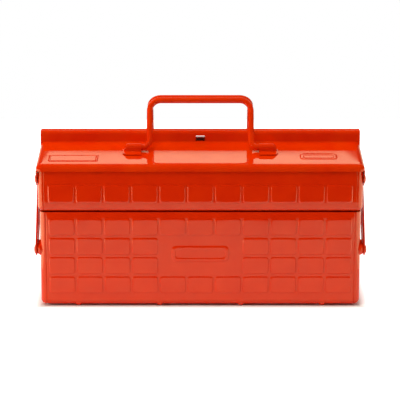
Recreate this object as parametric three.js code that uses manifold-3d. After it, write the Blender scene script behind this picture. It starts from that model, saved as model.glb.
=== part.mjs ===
// A two-stage cantilever toolbox: a pressed steel lower box, two trays that swing up and out on
// pairs of flat arms, a sloping lid on each tray and a bent-rod bail handle on each lid.
// Millimetres, +Z up. The origin is at the bottom centre and the front faces -Y.

import * as THREE from 'three';
import { mergeVertices } from 'three/addons/utils/BufferGeometryUtils.js';
import Module from 'manifold-3d';

const wasm = await Module();
wasm.setup();

// ---- Driving dimensions -------------------------------------------------------------------

const SHEET = 0.8;
const GAP = 0.3;
// How far a cutting solid runs past the face it cuts.
const OVERCUT = 1;
const BEND_STEPS = 2;
const ROUND_STEPS = 6;

// A trough is a U of sheet, closed by an end panel whose flange wraps round its corners.
const BOX = {
  halfLength: 171.5,
  yMin: -77,
  yMax: 77,
  floorZ: 1.5,
  rimZ: 104.2,
  pivotZ: 62,
  pivotYs: [-70.5, -50.5, 50.5, 70.5],
};
const TRAY = {
  halfLength: 173,
  yMin: -78.6,
  yMax: -1,
  floorZ: 104.8,
  rimZ: 149.8,
  pivotZ: 131,
  pivotYs: [-28.5, -8.5],
};
const CORNER_RADIUS = 4.2;
const SEAM_INSET = 5;
const FLANGE_DEPTH = 9.5;
const STEP_WIDTH = 1.1;
const HEM_DEPTH = 7;

// Ribs across the bottom carry the box.
const RIB_XS = [-131, -43.7, 43.7, 131];
const RIB_WIDTH = 6;
const RIB_HALF_RUN = 72;
const RIB_FOOT_SCALE = { x: 0.7, y: 0.98 };

// Rows of shallow pressed pads stiffen the long walls.
const PAD_COLUMNS = 11;
const PAD_PITCH_X = 29.6;
const PAD_WIDTH = 26.2;
const PAD_RISE = 0.9;
const PAD_TAPER = 0.9;
const PAD_WALL = 0.32;
const BOX_PAD_HEIGHT = 17.6;
const BOX_PAD_PITCH_Z = 21.35;
const BOX_PAD_TOP_Z = 97.2;
const BOX_PAD_ROWS = 4;
const TRAY_PAD_TOP_Z = 134.3;
const TRAY_PAD_HEIGHT = 19.8;
const BADGE = { width: 62, height: 18, z: 58.2 };

// Arms, and the rivets they turn on.
const ARM_X = 175;
const ARM_THICKNESS = 1.6;
const ARM_WIDTH = 13;
const ARM_HOLE_RADIUS = 2.4;
const HOLE_REACH = 6;
const BOSS_TOP_RADIUS = 4.8;
const BOSS_SPREAD = 0.5;
const BOSS_SIDES = 16;
const BOSS_TOP_X = ARM_X - GAP;
const RIVET_RADIUS = 2;
const RIVET_HEAD_RADIUS = 4.5;
const RIVET_HEAD_HEIGHT = 1.5;
const RIVET_TAIL_RADIUS = 3.4;
const RIVET_TAIL_HEIGHT = 1;
const RIVET_SIDES = 10;
// The pivot rivets hold an arm against a boss, with a gap under the head and over the tail.
const PIVOT_HEAD_X = ARM_X + ARM_THICKNESS + GAP;
const PIVOT_GRIP = PIVOT_HEAD_X - (BOSS_TOP_X - SHEET - GAP);
const RIVET_SHOULDER = { radius: 0.8, height: 0.65 };

// Lid: lip, fold, slope, and a curl along the ridge with a slot for a padlock.
const LID_HALF_LENGTH = 174.5;
const LIP_Y = -80.2;
const LIP_BOTTOM_Z = 148.9;
const FOLD_RADIUS = 5;
const RIDGE_Y = -8;
const RIDGE_Z = 166.4;
const SLOPE = THREE.MathUtils.degToRad(8.46);
const CURL_INNER_Y = -0.5;
const CURL_TOP_Z = 178.9;
const CURL_EDGE_Z = 166.2;
const SLOT_HALF_WIDTH = 4.85;
const SLOT_Z = [167.9, 173.4];
const LID_PIVOT = { y: -70, z: 139 };
const EAR_RADIUS = 7;

// Handle rod, and the saddle clips that hold its feet.
const ROD_RADIUS = 3.25;
const ROD_ROUND_STEPS = 4;
const ROD_STEPS = 56;
const FOOT_Y = -37;
const FOOT_HEIGHT = 4.5;
const FOOT_END_X = 81;
const LEG_X = 54.8;
const HANDLE_RISE = 55.2;
const HANDLE_LEAN = THREE.MathUtils.degToRad(33.4);
const TOP_BEND = 12;
const FOOT_BEND = 8;
const CLIP_X = [63.5, 83.5];
const CLIP_SHEET = 0.9;
const CLIP_ROUND_STEPS = 4;
const CLIP_FRONT_FLANGE = 9;
const CLIP_REAR_FLANGE = 5;

const DIVIDER_HEIGHT = 32;
const DIVIDER_FOOT = 10;
const DIVIDER_NOTCH = 4;

const ENAMEL = { color: 0xd93a14, roughness: 0.22, metalness: 0.0 };
const ARM_ENAMEL = { color: 0xd23a18, roughness: 0.28, metalness: 0.0 };
const RIVET_ENAMEL = { color: 0xcf3c1c, roughness: 0.3, metalness: 0.0 };
const ROD_ENAMEL = { color: 0xdb3f17, roughness: 0.2, metalness: 0.0 };

// ---- Solids -------------------------------------------------------------------------------

function toSolid(geometry) {
  const bare = geometry.clone();
  bare.deleteAttribute('normal');
  bare.deleteAttribute('uv');
  const merged = mergeVertices(bare, 1e-4);
  const vertProperties = Float32Array.from(merged.attributes.position.array);
  const triVerts = Uint32Array.from(merged.index.array);
  return new wasm.Manifold(new wasm.Mesh({ numProp: 3, vertProperties, triVerts }));
}

function toGeometry(solid) {
  const { vertProperties, triVerts } = solid.getMesh();
  const geometry = new THREE.BufferGeometry();
  geometry.setAttribute('position', new THREE.BufferAttribute(vertProperties, 3));
  geometry.setIndex(new THREE.BufferAttribute(triVerts, 1));
  geometry.computeVertexNormals();
  return geometry;
}

// Corners are set to the exact limits, so that pieces with a limit in common meet in one plane.
function block(xs, ys, zs) {
  const geometry = new THREE.BoxGeometry(1, 1, 1);
  const corners = geometry.attributes.position;
  const limit = (range, value) => (value > 0 ? Math.max(...range) : Math.min(...range));
  for (let i = 0; i < corners.count; i += 1) {
    const [x, y, z] = [corners.getX(i), corners.getY(i), corners.getZ(i)];
    corners.setXYZ(i, limit(xs, x), limit(ys, y), limit(zs, z));
  }
  return toSolid(geometry);
}

// An outline drawn in Y and Z, pushed along X between two limits in either order.
function alongX(outline, xa, xb, curveSegments = BEND_STEPS) {
  const geometry = new THREE.ExtrudeGeometry(outline, { depth: 1, bevelEnabled: false, curveSegments });
  const axes = [new THREE.Vector3(0, 1, 0), new THREE.Vector3(0, 0, 1), new THREE.Vector3(1, 0, 0)];
  geometry.applyMatrix4(new THREE.Matrix4().makeBasis(...axes));
  const corners = geometry.attributes.position;
  for (let i = 0; i < corners.count; i += 1) {
    corners.setX(i, corners.getX(i) > 0.5 ? Math.max(xa, xb) : Math.min(xa, xb));
  }
  return toSolid(geometry);
}

// A round bar or cone along X: `radii` are those at x0 and x1.
function roundAlongX(y, z, radii, x0, x1, sides = BOSS_SIDES) {
  const geometry = new THREE.CylinderGeometry(radii[1], radii[0], x1 - x0, sides);
  geometry.rotateZ(-Math.PI / 2);
  geometry.translate((x0 + x1) / 2, y, z);
  return toSolid(geometry);
}

// The hole that a rivet's shank needs through the end wall at `wallX` on one side.
function drillAlongX(y, z, wallX, side) {
  const radii = [ARM_HOLE_RADIUS, ARM_HOLE_RADIUS];
  return roundAlongX(y, z, radii, side * wallX - HOLE_REACH, side * wallX + HOLE_REACH, RIVET_SIDES);
}

// ---- Troughs: the lower box and the trays --------------------------------------------------

// The U section, open at the top, drawn `inset` inside the outer surface.
function troughOutline(trough, inset) {
  const radius = CORNER_RADIUS - inset;
  const yMin = trough.yMin + inset;
  const yMax = trough.yMax - inset;
  const floor = trough.floorZ + inset;
  const top = trough.rimZ + inset;
  const outline = new THREE.Shape();
  outline.moveTo(yMin, top);
  outline.lineTo(yMin, floor + radius);
  outline.absarc(yMin + radius, floor + radius, radius, Math.PI, 1.5 * Math.PI, false);
  outline.absarc(yMax - radius, floor + radius, radius, 1.5 * Math.PI, 2 * Math.PI, false);
  outline.lineTo(yMax, top);
  outline.closePath();
  return outline;
}

// The plan, with its four vertical corners rounded.
function planOutline(trough, inset) {
  const radius = CORNER_RADIUS - inset;
  const x = trough.halfLength - inset - radius;
  const y0 = trough.yMin + inset + radius;
  const y1 = trough.yMax - inset - radius;
  const outline = new THREE.Shape();
  outline.absarc(x, y1, radius, 0, 0.5 * Math.PI, false);
  outline.absarc(-x, y1, radius, 0.5 * Math.PI, Math.PI, false);
  outline.absarc(-x, y0, radius, Math.PI, 1.5 * Math.PI, false);
  outline.absarc(x, y0, radius, 1.5 * Math.PI, 2 * Math.PI, false);
  outline.closePath();
  return outline;
}

function filledTrough(trough, inset) {
  const reach = trough.halfLength - inset;
  const section = alongX(troughOutline(trough, inset), -reach, reach);
  const height = trough.rimZ - trough.floorZ + 2 * OVERCUT;
  const options = { depth: height, bevelEnabled: false, curveSegments: BEND_STEPS };
  const plan = new THREE.ExtrudeGeometry(planOutline(trough, inset), options);
  plan.translate(0, 0, trough.floorZ - OVERCUT + inset);
  return section.intersect(toSolid(plan));
}

// A pressed pad, seen from outside: `side` is -1 on a front wall and +1 on a rear wall.
function pad(x, z, width, height, wallY, side) {
  const geometry = new THREE.BoxGeometry(width, PAD_RISE, height);
  const corners = geometry.attributes.position;
  const narrow = (width - 2 * PAD_TAPER) / width;
  const low = (height - 2 * PAD_TAPER) / height;
  for (let i = 0; i < corners.count; i += 1) {
    if (corners.getY(i) * side > 0) {
      corners.setX(i, corners.getX(i) * narrow);
      corners.setZ(i, corners.getZ(i) * low);
    }
  }
  geometry.translate(x, wallY + side * PAD_RISE / 2, z);
  return toSolid(geometry);
}

// The sheet keeps its thickness over a pad, so the inside is pressed too.
function pressPads(sheet, pads, wallY, side) {
  let pressed = sheet;
  for (const { x, z, width, height } of pads) {
    const innerWidth = width - 2 * PAD_WALL;
    const innerHeight = height - 2 * PAD_WALL;
    pressed = pressed.add(pad(x, z, width, height, wallY, side));
    pressed = pressed.subtract(pad(x, z, innerWidth, innerHeight, wallY - side * SHEET, side));
  }
  return pressed;
}

function padRow(z, height, isBlank) {
  const pads = [];
  for (let column = 0; column < PAD_COLUMNS; column += 1) {
    const offset = column - (PAD_COLUMNS - 1) / 2;
    if (!isBlank(offset)) {
      pads.push({ x: offset * PAD_PITCH_X, z, width: PAD_WIDTH, height });
    }
  }
  return pads;
}

// Four rows; on the front wall the middle is left plain for a badge plate.
function boxPads(hasBadge) {
  const pads = [];
  for (let row = 0; row < BOX_PAD_ROWS; row += 1) {
    const z = BOX_PAD_TOP_Z - row * BOX_PAD_PITCH_Z - BOX_PAD_HEIGHT / 2;
    const middle = row === 1 || row === 2;
    pads.push(...padRow(z, BOX_PAD_HEIGHT, (offset) => hasBadge && middle && Math.abs(offset) <= 1));
  }
  if (hasBadge) {
    pads.push({ x: 0, z: BADGE.z, width: BADGE.width, height: BADGE.height });
  }
  return pads;
}

function trayPads() {
  return padRow(TRAY_PAD_TOP_Z - TRAY_PAD_HEIGHT / 2, TRAY_PAD_HEIGHT, () => false);
}

// Front wall, floor and rear wall in one folded sheet, hemmed inwards along both rims.
function troughShell(trough) {
  const reach = trough.halfLength - SEAM_INSET;
  const outer = alongX(troughOutline(trough, 0), -reach, reach);
  const hollow = (inset) => alongX(troughOutline(trough, inset), -reach - OVERCUT, reach + OVERCUT);
  const sheet = outer.subtract(hollow(SHEET));
  const doubled = outer.subtract(hollow(2 * SHEET));
  const rimBand = [trough.rimZ - HEM_DEPTH, trough.rimZ + OVERCUT];
  const hemReach = trough.halfLength - FLANGE_DEPTH - GAP;
  const hem = doubled.intersect(block([-hemReach, hemReach], [trough.yMin, trough.yMax], rimBand));
  return sheet.add(hem);
}

// A rib pressed down out of the bottom sheet; its underside is the resting face.
function pressRib(sheet, x) {
  const rib = (width, floor, height) => {
    const geometry = new THREE.BoxGeometry(width, 2 * RIB_HALF_RUN, height);
    const corners = geometry.attributes.position;
    for (let i = 0; i < corners.count; i += 1) {
      if (corners.getZ(i) < 0) {
        corners.setX(i, corners.getX(i) * RIB_FOOT_SCALE.x);
        corners.setY(i, corners.getY(i) * RIB_FOOT_SCALE.y);
      }
    }
    geometry.translate(x, 0, floor + height / 2);
    return toSolid(geometry);
  };
  const down = rib(RIB_WIDTH, 0, BOX.floorZ + SHEET / 2);
  const hollow = rib(RIB_WIDTH - SHEET, SHEET, BOX.floorZ + SHEET / 2);
  return sheet.add(down).subtract(hollow);
}

// The end panel: a shallow pan. Its flange shows at the corners, then steps in behind the shell.
function troughEnd(trough, side, bossRise) {
  const skin = filledTrough(trough, 0);
  const band = (near, far) => {
    const xs = [side * near, side * far];
    const ys = [trough.yMin - OVERCUT, trough.yMax + OVERCUT];
    return block(xs, ys, [trough.floorZ - OVERCUT, trough.rimZ]);
  };
  const wrap = trough.halfLength - SEAM_INSET + GAP;
  const tucked = SHEET + GAP;
  const visible = skin.subtract(filledTrough(trough, SHEET));
  const behind = filledTrough(trough, tucked).subtract(filledTrough(trough, tucked + SHEET));
  const step = skin.subtract(filledTrough(trough, tucked + SHEET));
  let pan = visible.intersect(band(wrap, trough.halfLength));
  pan = pan.add(step.intersect(band(wrap, wrap + STEP_WIDTH)));
  pan = pan.add(behind.intersect(band(trough.halfLength - FLANGE_DEPTH, wrap + STEP_WIDTH)));
  const hemXs = [side * (trough.halfLength - 2 * SHEET), side * (trough.halfLength - SHEET / 2)];
  const hemYs = [trough.yMin + CORNER_RADIUS, trough.yMax - CORNER_RADIUS];
  const hem = block(hemXs, hemYs, [trough.rimZ - HEM_DEPTH, trough.rimZ]);
  pan = pan.add(hem);
  for (const y of trough.pivotYs) {
    pan = pressBoss(pan, y, trough.pivotZ, trough.halfLength, side, bossRise);
  }
  return pan;
}

// A conical boss that spaces the arm off the wall, with a hole for the rivet.
function pressBoss(pan, y, z, wallX, side, rise) {
  const cone = (top, base, x0, x1) => (side > 0
    ? roundAlongX(y, z, [base, top], x0, x1)
    : roundAlongX(y, z, [top, base], -x1, -x0));
  const sunk = SHEET / 2;
  const top = BOSS_TOP_RADIUS;
  const base = top + BOSS_SPREAD * rise;
  const outside = cone(top, base, wallX - sunk, wallX + rise);
  const inside = cone(top - SHEET, base - SHEET, wallX - 2 * SHEET, wallX + rise - SHEET);
  return pan.add(outside).subtract(inside).subtract(drillAlongX(y, z, wallX, side));
}

function divider() {
  const floor = TRAY.floorZ + SHEET + GAP;
  const reach = [TRAY.yMin + 2 * SHEET + GAP, TRAY.yMax - 2 * SHEET - GAP];
  const wall = block([0, SHEET], reach, [floor, floor + DIVIDER_HEIGHT]);
  const foot = block([0, DIVIDER_FOOT], reach, [floor, floor + SHEET]);
  const notch = (y) => {
    const ys = [y - DIVIDER_NOTCH, y + DIVIDER_NOTCH];
    return block([-OVERCUT, DIVIDER_FOOT + OVERCUT], ys, [floor - OVERCUT, floor + DIVIDER_NOTCH]);
  };
  return wall.add(foot).subtract(notch(reach[0])).subtract(notch(reach[1]));
}

// ---- Lid ----------------------------------------------------------------------------------

function slopeZ(y) {
  return RIDGE_Z + (y - RIDGE_Y) * Math.tan(SLOPE);
}

// Lip, fold and slope as a filled section, `inset` inside the outer surface, ending at yEnd.
function lidOutline(inset, yEnd) {
  const radius = FOLD_RADIUS - inset;
  const foldY = LIP_Y + FOLD_RADIUS;
  const foldZ = slopeZ(foldY) - FOLD_RADIUS / Math.cos(SLOPE);
  const drop = inset / Math.cos(SLOPE);
  const bottom = inset > 0 ? LIP_BOTTOM_Z - OVERCUT : LIP_BOTTOM_Z;
  const outline = new THREE.Shape();
  outline.moveTo(yEnd, bottom);
  outline.lineTo(yEnd, slopeZ(yEnd) - drop);
  outline.absarc(foldY, foldZ, radius, Math.PI / 2 + SLOPE, Math.PI, false);
  outline.lineTo(LIP_Y + inset, bottom);
  outline.closePath();
  return outline;
}

// The sheet turns up at the ridge, over and down again.
function curlOutline() {
  const outerRadius = (CURL_INNER_Y - RIDGE_Y) / 2;
  const centreY = (CURL_INNER_Y + RIDGE_Y) / 2;
  const centreZ = CURL_TOP_Z - outerRadius;
  const outline = new THREE.Shape();
  outline.moveTo(RIDGE_Y, slopeZ(RIDGE_Y) - SHEET / 2);
  outline.lineTo(RIDGE_Y + SHEET, slopeZ(RIDGE_Y) - SHEET / 2);
  outline.absarc(centreY, centreZ, outerRadius - SHEET, Math.PI, 0, true);
  outline.lineTo(CURL_INNER_Y - SHEET, CURL_EDGE_Z);
  outline.lineTo(CURL_INNER_Y, CURL_EDGE_Z);
  outline.absarc(centreY, centreZ, outerRadius, 0, Math.PI, false);
  outline.closePath();
  return outline;
}

function earOutline() {
  const { y, z } = LID_PIVOT;
  const outline = new THREE.Shape();
  outline.moveTo(y + EAR_RADIUS, LIP_BOTTOM_Z + SHEET);
  outline.lineTo(y - EAR_RADIUS, LIP_BOTTOM_Z + SHEET);
  outline.absarc(y, z, EAR_RADIUS, Math.PI, 2 * Math.PI, false);
  outline.closePath();
  return outline;
}

// Skirt and hinge ear at one end of the lid.
function lidEnd(side) {
  const xs = [side * (LID_HALF_LENGTH - SHEET), side * LID_HALF_LENGTH];
  const ys = [RIDGE_Y, CURL_INNER_Y - SHEET];
  const ear = alongX(earOutline(), ...xs, ROUND_STEPS);
  const hole = drillAlongX(LID_PIVOT.y, LID_PIVOT.z, LID_HALF_LENGTH, side);
  return block(xs, ys, [LIP_BOTTOM_Z, RIDGE_Z]).add(ear.subtract(hole));
}

function lid() {
  const outer = alongX(lidOutline(0, RIDGE_Y + SHEET), -LID_HALF_LENGTH, LID_HALF_LENGTH);
  const innerReach = LID_HALF_LENGTH - SHEET;
  const inner = alongX(lidOutline(SHEET, RIDGE_Y + 2 * SHEET), -innerReach, innerReach);
  const curl = alongX(curlOutline(), -LID_HALF_LENGTH, LID_HALF_LENGTH);
  const slot = block([-SLOT_HALF_WIDTH, SLOT_HALF_WIDTH], [RIDGE_Y - OVERCUT, 0], SLOT_Z);
  return outer.subtract(inner).add(curl).add(lidEnd(-1)).add(lidEnd(1)).subtract(slot);
}

// ---- Arms, rivets, handle and clips ---------------------------------------------------------

// A flat link with round ends; it runs from its lower pivot at the origin up along +Z.
function arm() {
  const length = Math.hypot(TRAY.pivotYs[0] - BOX.pivotYs[0], TRAY.pivotZ - BOX.pivotZ);
  const radius = ARM_WIDTH / 2;
  const outline = new THREE.Shape();
  outline.absarc(0, 0, radius, Math.PI, 2 * Math.PI, false);
  outline.absarc(0, length, radius, 0, Math.PI, false);
  outline.closePath();
  for (const z of [0, length]) {
    outline.holes.push(new THREE.Path().absarc(0, z, ARM_HOLE_RADIUS, 0, 2 * Math.PI, true));
  }
  return toGeometry(alongX(outline, 0, ARM_THICKNESS, ROUND_STEPS));
}

// A rivet along +X from its tail's inner face, with `grip` of metal between tail and head.
function rivet(grip) {
  const head = RIVET_TAIL_HEIGHT + grip;
  const profile = [
    [0, 0],
    [RIVET_TAIL_RADIUS, 0],
    [RIVET_TAIL_RADIUS, RIVET_TAIL_HEIGHT],
    [RIVET_RADIUS, RIVET_TAIL_HEIGHT],
    [RIVET_RADIUS, head],
    [RIVET_HEAD_RADIUS, head],
    [RIVET_HEAD_RADIUS * RIVET_SHOULDER.radius, head + RIVET_HEAD_HEIGHT * RIVET_SHOULDER.height],
    [0, head + RIVET_HEAD_HEIGHT],
  ];
  const geometry = new THREE.LatheGeometry(profile.map(([r, x]) => new THREE.Vector2(r, x)), RIVET_SIDES);
  geometry.rotateZ(-Math.PI / 2);
  return toGeometry(toSolid(geometry));
}

class BailCurve extends THREE.CurvePath {
  constructor() {
    super();
    const foot = (s) => new THREE.Vector3(s * FOOT_END_X, 0, 0);
    const corner = (s, top) => new THREE.Vector3(s * LEG_X, 0, top ? HANDLE_RISE : 0);
    const stops = [foot(-1), corner(-1, false), corner(-1, true), corner(1, true), corner(1, false), foot(1)];
    const bends = [0, FOOT_BEND, TOP_BEND, TOP_BEND, FOOT_BEND, 0];
    let from = stops[0];
    for (let i = 1; i < stops.length - 1; i += 1) {
      const back = stops[i - 1].clone().sub(stops[i]).setLength(bends[i]);
      const ahead = stops[i + 1].clone().sub(stops[i]).setLength(bends[i]);
      this.add(new THREE.LineCurve3(from, stops[i].clone().add(back)));
      this.add(new QuarterBend(stops[i], back, ahead));
      from = stops[i].clone().add(ahead);
    }
    this.add(new THREE.LineCurve3(from, stops[stops.length - 1]));
  }
}

// A quarter circle that rounds the corner between the directions `back` and `ahead`.
class QuarterBend extends THREE.Curve {
  constructor(corner, back, ahead) {
    super();
    this.centre = corner.clone().add(back).add(ahead);
    this.back = back;
    this.ahead = ahead;
  }

  getPoint(t, target = new THREE.Vector3()) {
    const angle = t * Math.PI / 2;
    target.copy(this.centre);
    target.addScaledVector(this.ahead, -Math.cos(angle));
    return target.addScaledVector(this.back, -Math.sin(angle));
  }
}

function handle() {
  const section = new THREE.Shape().absarc(0, 0, ROD_RADIUS, 0, 2 * Math.PI, false);
  const options = { extrudePath: new BailCurve(), steps: ROD_STEPS, curveSegments: ROD_ROUND_STEPS };
  return toGeometry(toSolid(new THREE.ExtrudeGeometry(section, options)));
}

// A half tube over the rod with a flange in front and behind, closed at its outer end.
function clip(side) {
  const inside = ROD_RADIUS + GAP;
  const outside = inside + CLIP_SHEET;
  const flangeTop = GAP + CLIP_SHEET;
  const outline = new THREE.Shape();
  outline.moveTo(-outside - CLIP_FRONT_FLANGE, GAP);
  outline.lineTo(-inside, GAP);
  outline.absarc(0, FOOT_HEIGHT, inside, Math.PI, 0, true);
  outline.lineTo(inside, GAP);
  outline.lineTo(outside + CLIP_REAR_FLANGE, GAP);
  outline.lineTo(outside + CLIP_REAR_FLANGE, flangeTop);
  outline.lineTo(outside, flangeTop);
  outline.absarc(0, FOOT_HEIGHT, outside, 0, Math.PI, false);
  outline.lineTo(-outside, flangeTop);
  outline.lineTo(-outside - CLIP_FRONT_FLANGE, flangeTop);
  outline.closePath();
  const closure = new THREE.Shape();
  closure.moveTo(-outside, GAP);
  closure.lineTo(outside, GAP);
  closure.absarc(0, FOOT_HEIGHT, outside, 0, Math.PI, false);
  closure.closePath();
  const tube = alongX(outline, side * CLIP_X[0], side * CLIP_X[1], CLIP_ROUND_STEPS);
  const cap = alongX(closure, side * (CLIP_X[1] - CLIP_SHEET), side * CLIP_X[1], CLIP_ROUND_STEPS);
  return toGeometry(tube.add(cap));
}

// ---- Assembly -------------------------------------------------------------------------------

const toolbox = new THREE.Group();

function place(parent, name, geometry, look) {
  const mesh = new THREE.Mesh(geometry, new THREE.MeshStandardMaterial(look));
  mesh.name = name;
  parent.add(mesh);
  return mesh;
}

// A rivet at one side: `headX` is where its head bears, on the outside.
function placeRivet(parent, name, side, y, z, headX, grip) {
  const mesh = place(parent, name, rivet(grip), RIVET_ENAMEL);
  mesh.position.set(side * (headX - RIVET_TAIL_HEIGHT - grip), y, z);
  mesh.rotation.z = side > 0 ? 0 : Math.PI;
}

function buildLowerBox() {
  let shell = troughShell(BOX);
  for (const x of RIB_XS) {
    shell = pressRib(shell, x);
  }
  shell = pressPads(shell, boxPads(true), BOX.yMin, -1);
  shell = pressPads(shell, boxPads(false), BOX.yMax, 1);
  place(toolbox, 'box_shell', toGeometry(shell), ENAMEL);
  for (const side of [-1, 1]) {
    const sideName = side < 0 ? 'left' : 'right';
    const end = troughEnd(BOX, side, BOSS_TOP_X - BOX.halfLength);
    place(toolbox, `box_end_${sideName}`, toGeometry(end), ENAMEL);
    for (const y of BOX.pivotYs) {
      const half = y < 0 ? 'front' : 'rear';
      const link = Math.abs(y) > Math.abs(BOX.pivotYs[1]) ? 'outer' : 'inner';
      const name = `${half}_${link}_lower_rivet_${sideName}`;
      placeRivet(toolbox, name, side, y, BOX.pivotZ, PIVOT_HEAD_X, PIVOT_GRIP);
    }
  }
}

// One tray with its lid, handle and arms, built for the front. The rear half is the same, turned
// half round, which also swaps left and right.
function buildHalf(half, turned) {
  const group = new THREE.Group();
  group.rotation.z = turned ? Math.PI : 0;
  toolbox.add(group);
  const sideNames = { [-1]: turned ? 'right' : 'left', [1]: turned ? 'left' : 'right' };
  buildTray(group, half, sideNames);
  buildArms(group, half, sideNames);
  buildLid(group, half, sideNames);
}

function buildTray(group, half, sideNames) {
  const shell = pressPads(troughShell(TRAY), trayPads(), TRAY.yMin, -1);
  place(group, `${half}_tray_shell`, toGeometry(shell), ENAMEL);
  place(group, `${half}_tray_divider`, toGeometry(divider()), ENAMEL);
  for (const side of [-1, 1]) {
    const pan = troughEnd(TRAY, side, BOSS_TOP_X - TRAY.halfLength);
    const { y, z } = LID_PIVOT;
    const drilled = pan.subtract(drillAlongX(y, z, TRAY.halfLength, side));
    place(group, `${half}_tray_end_${sideNames[side]}`, toGeometry(drilled), ENAMEL);
    const lidGrip = LID_HALF_LENGTH + GAP - (TRAY.halfLength - SHEET - GAP);
    placeRivet(group, `${half}_lid_rivet_${sideNames[side]}`, side, y, z, LID_HALF_LENGTH + GAP, lidGrip);
  }
}

function buildArms(group, half, sideNames) {
  TRAY.pivotYs.forEach((upperY, i) => {
    const link = i === 0 ? 'outer' : 'inner';
    const lowerY = BOX.pivotYs[i];
    for (const side of [-1, 1]) {
      const mesh = place(group, `${half}_${link}_arm_${sideNames[side]}`, arm(), ARM_ENAMEL);
      mesh.position.set(side > 0 ? ARM_X : -ARM_X - ARM_THICKNESS, lowerY, BOX.pivotZ);
      mesh.rotation.x = -Math.atan2(upperY - lowerY, TRAY.pivotZ - BOX.pivotZ);
      const name = `${half}_${link}_upper_rivet_${sideNames[side]}`;
      placeRivet(group, name, side, upperY, TRAY.pivotZ, PIVOT_HEAD_X, PIVOT_GRIP);
    }
  });
}

function buildLid(group, half, sideNames) {
  place(group, `${half}_lid`, toGeometry(lid()), ENAMEL);
  const seat = new THREE.Group();
  seat.position.set(0, FOOT_Y, slopeZ(FOOT_Y));
  seat.rotation.x = SLOPE;
  group.add(seat);
  for (const side of [-1, 1]) {
    place(seat, `${half}_clip_${sideNames[side]}`, clip(side), ENAMEL);
  }
  const bail = place(seat, `${half}_handle`, handle(), ROD_ENAMEL);
  bail.position.z = FOOT_HEIGHT;
  bail.rotation.x = -HANDLE_LEAN - SLOPE;
}

buildLowerBox();
buildHalf('front', false);
buildHalf('rear', true);

export default toolbox;
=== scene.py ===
# A glossy orange-red cantilever toolbox: pressed steel sheet, flat arms, rivets and two bail handles.
# Shapes are drawn in millimetres for the front half. The rear half is the same, turned half round.

import math
from collections import namedtuple

import bmesh
import bpy
from mathutils import Matrix, Vector


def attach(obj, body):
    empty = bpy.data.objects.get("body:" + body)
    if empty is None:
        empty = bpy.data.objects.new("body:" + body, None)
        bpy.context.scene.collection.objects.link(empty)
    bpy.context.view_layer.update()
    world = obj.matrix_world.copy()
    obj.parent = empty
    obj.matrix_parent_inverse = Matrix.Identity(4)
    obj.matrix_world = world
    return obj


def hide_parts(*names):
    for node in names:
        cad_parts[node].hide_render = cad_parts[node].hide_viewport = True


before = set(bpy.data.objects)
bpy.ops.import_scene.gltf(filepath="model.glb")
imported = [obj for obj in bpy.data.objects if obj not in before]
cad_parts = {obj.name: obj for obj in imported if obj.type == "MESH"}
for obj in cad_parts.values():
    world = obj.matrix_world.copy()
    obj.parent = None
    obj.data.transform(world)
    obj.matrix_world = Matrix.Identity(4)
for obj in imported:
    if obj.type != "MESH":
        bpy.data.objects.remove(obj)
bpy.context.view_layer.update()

# ---- Dimensions -------------------------------------------------------------------------------

MM = 0.001
SHEET = 0.8
GAP = 0.3
CORNER = 6.0
BEND_STEPS = 7
SHARP_ANGLE = math.radians(50)

# The lower box or a tray: where its walls, floor, rim and arm pivots are.
Trough = namedtuple("Trough", "half_length y_min y_max floor_z rim_z pivot_z pivot_ys lean seam_depth")
BOX = Trough(
    half_length=171.5,
    y_min=-77.0,
    y_max=77.0,
    floor_z=1.5,
    rim_z=104.2,
    pivot_z=62.0,
    pivot_ys=(-70.5, -50.5, 50.5, 70.5),
    lean=0.0,
    seam_depth=0.5,
)
TRAY = Trough(
    half_length=173.0,
    y_min=-78.6,
    y_max=-1.0,
    floor_z=104.8,
    rim_z=149.8,
    pivot_z=131.0,
    pivot_ys=(-28.5, -8.5),
    lean=0.036,
    seam_depth=0.2,
)
# Below the first height a tray's front wall leans in towards its bottom bend. The second is a
# height on the leaning part, where the wall has another line of vertices.
LEAN_TOP_Z = 115.0
LEAN_LINE_Z = 112.0

SEAM_INSET = 6.5
SEAM_GAP = 0.12
SEAM_ROLL = 1.3
FLANGE_DEPTH = 9.5
TUCK = SHEET + GAP
HEM_RADIUS = 0.85
HEM_DEPTH = 7.0

RIB_XS = (-131.0, -43.7, 43.7, 131.0)
RIB_HALF_WIDTHS = (3.1, 2.0)
# Distances from a rib's middle, and in from the seam, that need a line of vertices.
RIB_OFFSETS = (0, 2.0, 2.4, 2.75, 3.1)
SEAM_OFFSETS = (0.2, 0.45, 0.75, 1.3)

PAD_COLUMNS = 11
PAD_PITCH_X = 29.6
PAD_WIDTH = 27.8
PAD_RISE = 0.8
PAD_RADIUS = 3.0
PAD_FLANK = 0.75
BOX_PAD_ROWS = 4
BOX_PAD_HEIGHT = 18.4
BOX_PAD_PITCH_Z = 21.35
BOX_PAD_TOP_Z = 97.2
TRAY_PAD_HEIGHT = 19.8
TRAY_PAD_TOP_Z = 134.3
BADGE_Z = 58.2

ARM_X = 175.0
ARM_THICKNESS = 1.6
ARM_RADIUS = 6.5
BOSS_TOP_RADIUS = 4.8
BOSS_SPREAD = 0.5
BOSS_FLARE = 1.2
BOSS_DEPTH = 0.5
BOSS_CORNER_DEPTH = 3.6
BOSS_TOP_X = ARM_X - GAP
RIVET_HEAD_X = ARM_X + ARM_THICKNESS + GAP
RIVET_SHANK_RADIUS = 2.0
RIVET_HEAD = (4.5, 1.5)
RIVET_TAIL = (3.4, 1.0)
ROUND_SIDES = 32

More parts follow.
